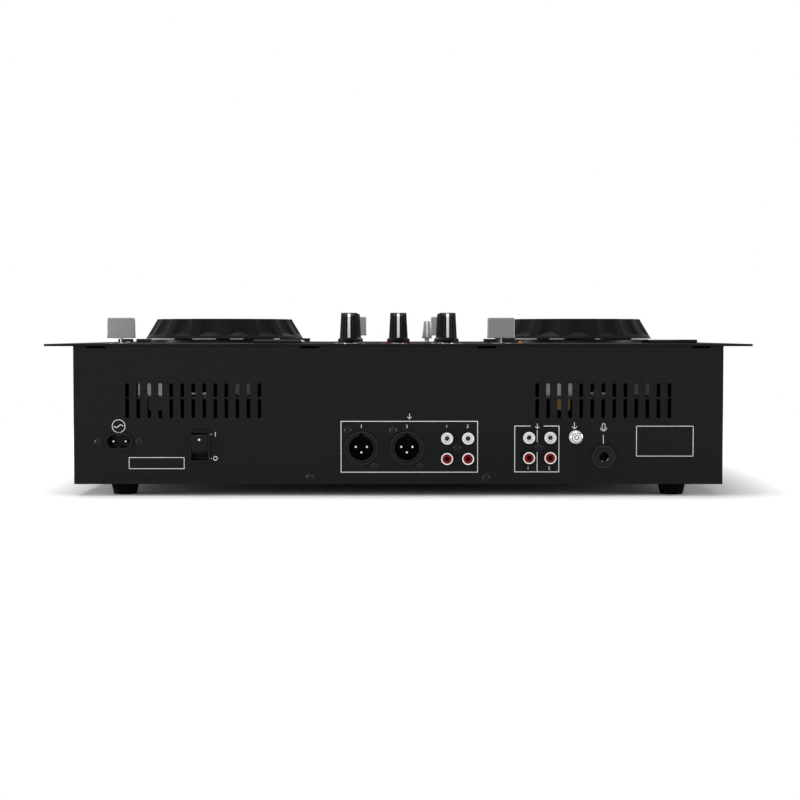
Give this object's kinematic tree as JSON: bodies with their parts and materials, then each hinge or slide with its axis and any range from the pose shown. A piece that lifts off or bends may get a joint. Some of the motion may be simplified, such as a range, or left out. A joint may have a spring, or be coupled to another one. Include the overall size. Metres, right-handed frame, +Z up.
{
  "type": "dual disc player and mixer console",
  "caption": "Rack-width console with two tray-loading disc decks, jog wheels and faders on top, and audio sockets at the rear.",
  "frame": {"origin": "on the floor, below the middle of the outer box", "axes": "+X to the player's right, +Y to the rear panel, +Z up"},
  "size_m": [0.4826, 0.3656, 0.1252],
  "materials": {
    "case_paint": "satin black, fine textured powder coat",
    "black_plastic": "matte black moulding",
    "gloss_black": "gloss black window",
    "jog_black": "matte black jog wheel",
    "jog_top": "satin black disc",
    "knob_black": "satin black knob",
    "fader_grey": "satin grey cap",
    "foot_rubber": "black rubber",
    "screw_black": "black oxide",
    "nickel": "bright nickel plate",
    "jack_white": "white insulator",
    "jack_red": "dark red insulator",
    "board_green": "green solder mask",
    "pot_steel": "plain steel cases",
    "drive_grey": "dark grey moulding",
    "pad_grey": "grey silicone",
    "gear_white": "natural moulding",
    "tray_black": "matte black tray",
    "pickup_metal": "cast alloy"
  },
  "bodies": {
    "console": {"top_plate": "case_paint", "base_pan": "case_paint", "rear_panel": "case_paint", "front_panel": "case_paint", "rubber_feet": "foot_rubber", "case_screws": "screw_black", "panel_screws": "screw_black", "mains_inlet": "black_plastic", "contacts": "nickel", "xlr_sockets": "black_plastic", "rca_blocks": "black_plastic", "rca_shells": "nickel", "rca_inserts_white": "jack_white", "rca_inserts_red": "jack_red", "jack_sockets": "black_plastic", "switch_frame": "black_plastic", "display_windows": "gloss_black", "jog_rings": "black_plastic", "circuit_boards": "board_green", "slide_pots": "pot_steel", "rotary_pots": "pot_steel", "drive_frames": "drive_grey", "keypads": "pad_grey"},
    "jog_left": {"jog_rim_left": "jog_black", "jog_plate_left": "jog_top"},
    "tray_left": {"disc_tray_left": "tray_black"},
    "gear_left": {"tray_gear_left": "gear_white"},
    "turntable_left": {"turntable_left": "drive_grey"},
    "pickup_left": {"pickup_left": "pickup_metal"},
    "pitch_fader_left": {"pitch_fader_left": "fader_grey"},
    "channel_fader_left": {"channel_fader_left": "fader_grey"},
    "track_knob_left": {"track_knob_left": "knob_black"},
    "jog_right": {"jog_rim_right": "jog_black", "jog_plate_right": "jog_top"},
    "tray_right": {"disc_tray_right": "tray_black"},
    "gear_right": {"tray_gear_right": "gear_white"},
    "turntable_right": {"turntable_right": "drive_grey"},
    "pickup_right": {"pickup_right": "pickup_metal"},
    "pitch_fader_right": {"pitch_fader_right": "fader_grey"},
    "channel_fader_right": {"channel_fader_right": "fader_grey"},
    "track_knob_right": {"track_knob_right": "knob_black"},
    "crossfader": {"crossfader": "fader_grey"},
    "knob_gain_left": {"knob_gain_left": "knob_black"},
    "knob_master": {"knob_master": "knob_black"},
    "knob_gain_right": {"knob_gain_right": "knob_black"},
    "knob_treble_left": {"knob_treble_left": "knob_black"},
    "knob_treble_right": {"knob_treble_right": "knob_black"},
    "knob_bass_left": {"knob_bass_left": "knob_black"},
    "knob_bass_right": {"knob_bass_right": "knob_black"},
    "power_rocker": {"power_rocker": "black_plastic"},
    "play_button_left": {"play_button_left": "knob_black"},
    "cue_button_left": {"cue_button_left": "knob_black"},
    "eject_button_left": {"eject_button_left": "knob_black"},
    "bend_down_left": {"bend_down_left": "knob_black"},
    "bend_up_left": {"bend_up_left": "knob_black"},
    "play_button_right": {"play_button_right": "knob_black"},
    "cue_button_right": {"cue_button_right": "knob_black"},
    "eject_button_right": {"eject_button_right": "knob_black"},
    "bend_down_right": {"bend_down_right": "knob_black"},
    "bend_up_right": {"bend_up_right": "knob_black"}
  },
  "joints": [
    {"name": "jog_left_turn", "type": "hinge", "parent": "console", "child": "jog_left", "pos_m": [-0.1413, -0.0412, 0.1035], "axis": [0, 0, 1], "continuous": true},
    {"name": "tray_left_slide", "type": "slide", "parent": "console", "child": "tray_left", "axis": [0, -1, 0], "range_m": [0, 0.125]},
    {"name": "gear_left_turn", "type": "hinge", "parent": "console", "child": "gear_left", "pos_m": [-0.1793, -0.1638, 0.03], "axis": [0, 0, 1], "range_deg": [0, 600]},
    {"name": "turntable_left_turn", "type": "hinge", "parent": "console", "child": "turntable_left", "pos_m": [-0.1413, -0.1058, 0.035], "axis": [0, 0, 1], "continuous": true},
    {"name": "pickup_left_slide", "type": "slide", "parent": "console", "child": "pickup_left", "axis": [0, 1, 0], "range_m": [0, 0.036]},
    {"name": "pitch_fader_left_slide", "type": "slide", "parent": "console", "child": "pitch_fader_left", "axis": [0, 1, 0], "range_m": [-0.03, 0.03]},
    {"name": "channel_fader_left_slide", "type": "slide", "parent": "console", "child": "channel_fader_left", "axis": [0, 1, 0], "range_m": [-0.0075, 0.0375]},
    {"name": "track_knob_left_turn", "type": "hinge", "parent": "console", "child": "track_knob_left", "pos_m": [-0.0933, -0.1442, 0.1035], "axis": [0, 0, 1], "continuous": true},
    {"name": "jog_right_turn", "type": "hinge", "parent": "console", "child": "jog_right", "pos_m": [0.1413, -0.0412, 0.1035], "axis": [0, 0, 1], "continuous": true},
    {"name": "tray_right_slide", "type": "slide", "parent": "console", "child": "tray_right", "axis": [0, -1, 0], "range_m": [0, 0.125]},
    {"name": "gear_right_turn", "type": "hinge", "parent": "console", "child": "gear_right", "pos_m": [0.1033, -0.1638, 0.03], "axis": [0, 0, 1], "range_deg": [0, 600]},
    {"name": "turntable_right_turn", "type": "hinge", "parent": "console", "child": "turntable_right", "pos_m": [0.1413, -0.1058, 0.035], "axis": [0, 0, 1], "continuous": true},
    {"name": "pickup_right_slide", "type": "slide", "parent": "console", "child": "pickup_right", "axis": [0, 1, 0], "range_m": [0, 0.036]},
    {"name": "pitch_fader_right_slide", "type": "slide", "parent": "console", "child": "pitch_fader_right", "axis": [0, 1, 0], "range_m": [-0.03, 0.03]},
    {"name": "channel_fader_right_slide", "type": "slide", "parent": "console", "child": "channel_fader_right", "axis": [0, 1, 0], "range_m": [-0.0075, 0.0375]},
    {"name": "track_knob_right_turn", "type": "hinge", "parent": "console", "child": "track_knob_right", "pos_m": [0.1893, -0.1442, 0.1035], "axis": [0, 0, 1], "continuous": true},
    {"name": "crossfader_slide", "type": "slide", "parent": "console", "child": "crossfader", "axis": [1, 0, 0], "range_m": [-0.0005, 0.0495]},
    {"name": "knob_gain_left_turn", "type": "hinge", "parent": "console", "child": "knob_gain_left", "pos_m": [-0.0345, 0.1358, 0.1035], "axis": [0, 0, 1], "range_deg": [-150, 150]},
    {"name": "knob_master_turn", "type": "hinge", "parent": "console", "child": "knob_master", "pos_m": [0, 0.1358, 0.1035], "axis": [0, 0, 1], "range_deg": [-150, 150]},
    {"name": "knob_gain_right_turn", "type": "hinge", "parent": "console", "child": "knob_gain_right", "pos_m": [0.0345, 0.1358, 0.1035], "axis": [0, 0, 1], "range_deg": [-150, 150]},
    {"name": "knob_treble_left_turn", "type": "hinge", "parent": "console", "child": "knob_treble_left", "pos_m": [-0.0345, 0.1018, 0.1035], "axis": [0, 0, 1], "range_deg": [-150, 150]},
    {"name": "knob_treble_right_turn", "type": "hinge", "parent": "console", "child": "knob_treble_right", "pos_m": [0.0345, 0.1018, 0.1035], "axis": [0, 0, 1], "range_deg": [-150, 150]},
    {"name": "knob_bass_left_turn", "type": "hinge", "parent": "console", "child": "knob_bass_left", "pos_m": [-0.0345, 0.0678, 0.1035], "axis": [0, 0, 1], "range_deg": [-150, 150]},
    {"name": "knob_bass_right_turn", "type": "hinge", "parent": "console", "child": "knob_bass_right", "pos_m": [0.0345, 0.0678, 0.1035], "axis": [0, 0, 1], "range_deg": [-150, 150]},
    {"name": "power_rocker_tilt", "type": "hinge", "parent": "console", "child": "power_rocker", "pos_m": [0.1353, 0.1718, 0.0338], "axis": [1, 0, 0], "range_deg": [0, 16]},
    {"name": "play_button_left_press", "type": "slide", "parent": "console", "child": "play_button_left", "axis": [0, 0, -1], "range_m": [0, 0.0008], "stiffness_N_per_m": 400, "springref_m": -0.0008},
    {"name": "cue_button_left_press", "type": "slide", "parent": "console", "child": "cue_button_left", "axis": [0, 0, -1], "range_m": [0, 0.0008], "stiffness_N_per_m": 400, "springref_m": -0.0008},
    {"name": "eject_button_left_press", "type": "slide", "parent": "console", "child": "eject_button_left", "axis": [0, 0, -1], "range_m": [0, 0.0008], "stiffness_N_per_m": 400, "springref_m": -0.0008},
    {"name": "bend_down_left_press", "type": "slide", "parent": "console", "child": "bend_down_left", "axis": [0, 0, -1], "range_m": [0, 0.0008], "stiffness_N_per_m": 400, "springref_m": -0.0008},
    {"name": "bend_up_left_press", "type": "slide", "parent": "console", "child": "bend_up_left", "axis": [0, 0, -1], "range_m": [0, 0.0008], "stiffness_N_per_m": 400, "springref_m": -0.0008},
    {"name": "play_button_right_press", "type": "slide", "parent": "console", "child": "play_button_right", "axis": [0, 0, -1], "range_m": [0, 0.0008], "stiffness_N_per_m": 400, "springref_m": -0.0008},
    {"name": "cue_button_right_press", "type": "slide", "parent": "console", "child": "cue_button_right", "axis": [0, 0, -1], "range_m": [0, 0.0008], "stiffness_N_per_m": 400, "springref_m": -0.0008},
    {"name": "eject_button_right_press", "type": "slide", "parent": "console", "child": "eject_button_right", "axis": [0, 0, -1], "range_m": [0, 0.0008], "stiffness_N_per_m": 400, "springref_m": -0.0008},
    {"name": "bend_down_right_press", "type": "slide", "parent": "console", "child": "bend_down_right", "axis": [0, 0, -1], "range_m": [0, 0.0008], "stiffness_N_per_m": 400, "springref_m": -0.0008},
    {"name": "bend_up_right_press", "type": "slide", "parent": "console", "child": "bend_up_right", "axis": [0, 0, -1], "range_m": [0, 0.0008], "stiffness_N_per_m": 400, "springref_m": -0.0008}
  ],
  "couplings": [
    {"joint": "gear_left_turn", "follows": "tray_left_slide", "rad_per_m": 83.333},
    {"joint": "gear_right_turn", "follows": "tray_right_slide", "rad_per_m": 83.333}
  ]
}
